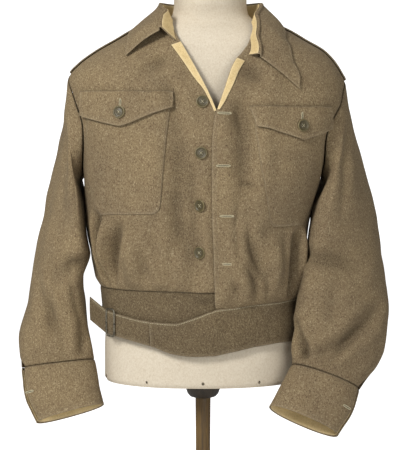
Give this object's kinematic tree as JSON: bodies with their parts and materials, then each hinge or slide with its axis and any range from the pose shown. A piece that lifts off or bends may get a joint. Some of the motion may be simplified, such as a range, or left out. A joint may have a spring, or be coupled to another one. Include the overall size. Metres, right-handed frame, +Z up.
{
  "type": "battledress jacket on dress form stand",
  "caption": "Waist-length wool jacket with flapped chest pockets, shoulder straps and a belted waistband, buttoned below an open neck, on a limbless dress form with a turned stand.",
  "frame": {"origin": "centre of the underside of the stand's round base, on the floor", "axes": "+Z up through the pole to the neck; the jacket's front faces -Y; the wearer's left is +X"},
  "size_m": [0.6445, 0.33, 1.066],
  "materials": {
    "serge": "heathered olive-brown wool serge, matt",
    "drill": "tan cotton drill lining, matt",
    "button": "dished olive-brown button, semi-gloss",
    "buckle": "dull bronzed steel wire",
    "form_cloth": "cream cloth stretched smooth",
    "stand_wood": "varnished brown wood",
    "flange_wood": "dark stained wood"
  },
  "bodies": {
    "root": {"back": "serge", "belt_tongue": "serge", "buckle": "buckle", "collar": "serge", "collar_lining": "drill", "cuff_button_left": "button", "cuff_button_right": "button", "cuff_left": "serge", "cuff_lining_left": "drill", "cuff_lining_right": "drill", "cuff_right": "serge", "facing_left": "drill", "facing_right": "drill", "flap_button_left": "button", "flap_button_right": "button", "form_flange": "flange_wood", "form_torso": "form_cloth", "front_button_1": "button", "front_button_2": "button", "front_button_3": "button", "front_button_4": "button", "front_left": "serge", "front_right": "serge", "pocket_flap_left": "serge", "pocket_flap_right": "serge", "pocket_left": "serge", "pocket_right": "serge", "shoulder_strap_left": "serge", "shoulder_strap_right": "serge", "sleeve_left_top": "serge", "sleeve_left_under": "serge", "sleeve_right_top": "serge", "sleeve_right_under": "serge", "stand_base": "stand_wood", "stand_pole": "stand_wood", "waistband_back": "serge", "waistband_left": "serge", "waistband_right": "serge"}
  },
  "joints": []
}
